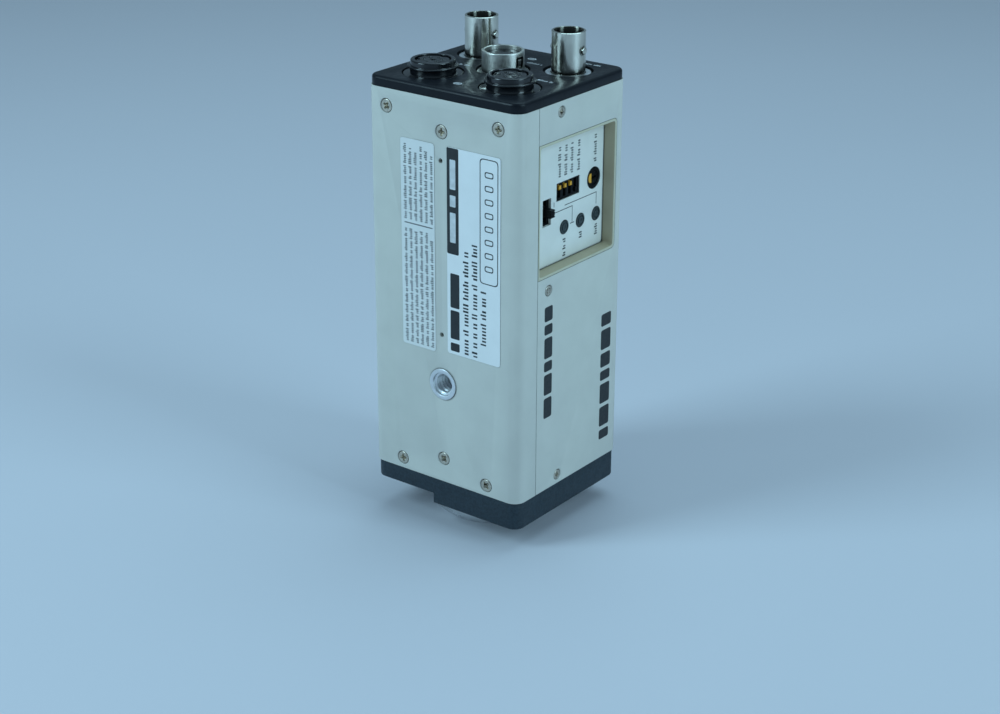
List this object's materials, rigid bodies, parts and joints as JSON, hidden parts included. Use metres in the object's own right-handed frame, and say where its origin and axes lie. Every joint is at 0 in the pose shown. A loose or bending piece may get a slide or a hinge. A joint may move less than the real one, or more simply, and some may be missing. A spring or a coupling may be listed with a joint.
{
  "type": "box video camera",
  "caption": "Box-type colour video camera standing on its threaded lens mount, with a tripod socket, a recessed panel of switches and buttons, and video and power sockets on its rear end.",
  "frame": {"origin": "centre of the lens mount ring's front face, which is what the camera stands on", "axes": "+Z along the optical axis from the lens mount to the rear sockets, -Y towards the tripod side, +X towards the side with the control recess"},
  "size_m": [0.0534, 0.0511, 0.1441],
  "materials": {
    "black_paint": "satin, fine orange-peel texture",
    "black_texture": "fine-grained matt",
    "beige_paint": "satin paint, fine texture",
    "bezel_plastic": "moulded, satin",
    "recess_plate": "satin, printed plain guide lines",
    "ring_metal": "turned, bright",
    "raw_aluminium": "plain",
    "nickel": "nickel plated",
    "dull_nickel": "dull nickel plated",
    "insert_steel": "machined",
    "case_screw_steel": "zinc plated, slightly dull",
    "screw_steel": "zinc plated",
    "socket_black": "moulded, semi-gloss",
    "insulator_white": "moulded, waxy",
    "gold_contact": "gold plated",
    "switch_black": "moulded",
    "slider_yellow": "moulded",
    "button_grey": "moulded",
    "circuit_board": "solder-masked glass-fibre laminate",
    "package_black": "moulded",
    "converter_tin": "tinned",
    "ribbon_grey": "soft flat cable",
    "gasket_rubber": "matt",
    "filter_glass": "polished, pale cyan",
    "cover_glass": "polished",
    "ceramic_grey": "matt",
    "sensor_silicon": "mirror-smooth",
    "label_white": "printed film, satin",
    "label_pale": "printed film, satin",
    "print_dark": "printed ink",
    "print_light": "printed ink"
  },
  "bodies": {
    "housing": {"bnc_contacts": "gold_contact", "bnc_insulators": "insulator_white", "bnc_shell_a": "nickel", "bnc_shell_b": "nickel", "board_headers": "switch_black", "board_screws": "screw_steel", "board_standoffs": "dull_nickel", "bottom_channel": "beige_paint", "bottom_screws": "case_screw_steel", "chassis_plate": "raw_aluminium", "connector_nuts": "dull_nickel", "control_bezel": "bezel_plastic", "control_plate": "recess_plate", "dc_converter": "converter_tin", "din_housing_a": "socket_black", "din_housing_b": "socket_black", "dip_switch_body": "switch_black", "electrolytic_capacitors": "package_black", "filter_gasket": "gasket_rubber", "filter_retainer": "ring_metal", "flank_screws": "case_screw_steel", "front_casting": "black_paint", "ic_packages": "package_black", "lens_mount_ring": "ring_metal", "multipin_insert": "socket_black", "multipin_shell": "dull_nickel", "notice_label": "label_pale", "optical_filter": "filter_glass", "power_board": "circuit_board", "process_board": "circuit_board", "rating_label": "label_white", "rear_board": "circuit_board", "rear_frame": "raw_aluminium", "rear_panel": "black_texture", "rear_plate": "raw_aluminium", "rear_plate_screws": "screw_steel", "ribbon_cables": "ribbon_grey", "rotary_switch_body": "switch_black", "sensor_board": "circuit_board", "sensor_bracket": "raw_aluminium", "sensor_cover_glass": "cover_glass", "sensor_die": "sensor_silicon", "sensor_package": "ceramic_grey", "side_brackets": "raw_aluminium", "slide_switch_body": "switch_black", "socket_contacts": "gold_contact", "switch_board": "circuit_board", "tact_switch_bodies": "switch_black", "top_cover": "beige_paint", "tripod_block": "raw_aluminium", "tripod_insert": "insert_steel"},
    "button_down": {"button_down": "button_grey"},
    "button_up": {"button_up": "button_grey"},
    "button_set": {"button_set": "button_grey"},
    "dip_slider_1": {"dip_slider_1": "slider_yellow"},
    "dip_slider_2": {"dip_slider_2": "slider_yellow"},
    "dip_slider_3": {"dip_slider_3": "slider_yellow"},
    "dip_slider_4": {"dip_slider_4": "switch_black"},
    "slide_switch_knob": {"slide_switch_knob": "switch_black"},
    "rotary_switch_rotor": {"rotary_switch_rotor": "switch_black"}
  },
  "joints": [
    {"name": "button_down_press", "type": "slide", "parent": "housing", "child": "button_down", "axis": [-1, 0, 0], "range_m": [0, 0.0005], "stiffness_N_per_m": 3000},
    {"name": "button_up_press", "type": "slide", "parent": "housing", "child": "button_up", "axis": [-1, 0, 0], "range_m": [0, 0.0005], "stiffness_N_per_m": 3000},
    {"name": "button_set_press", "type": "slide", "parent": "housing", "child": "button_set", "axis": [-1, 0, 0], "range_m": [0, 0.0005], "stiffness_N_per_m": 3000},
    {"name": "dip_slider_1_slide", "type": "slide", "parent": "housing", "child": "dip_slider_1", "axis": [0, 0, 1], "range_m": [-0.0022, 0]},
    {"name": "dip_slider_2_slide", "type": "slide", "parent": "housing", "child": "dip_slider_2", "axis": [0, 0, 1], "range_m": [-0.0022, 0]},
    {"name": "dip_slider_3_slide", "type": "slide", "parent": "housing", "child": "dip_slider_3", "axis": [0, 0, 1], "range_m": [-0.0022, 0]},
    {"name": "dip_slider_4_slide", "type": "slide", "parent": "housing", "child": "dip_slider_4", "axis": [0, 0, 1], "range_m": [0, 0.0022]},
    {"name": "slide_switch_slide", "type": "slide", "parent": "housing", "child": "slide_switch_knob", "axis": [0, 0, 1], "range_m": [-0.002, 0.002]},
    {"name": "rotary_switch_turn", "type": "hinge", "parent": "housing", "child": "rotary_switch_rotor", "pos_m": [0.0225, 0.0147, 0.10215], "axis": [1, 0, 0], "continuous": true}
  ]
}
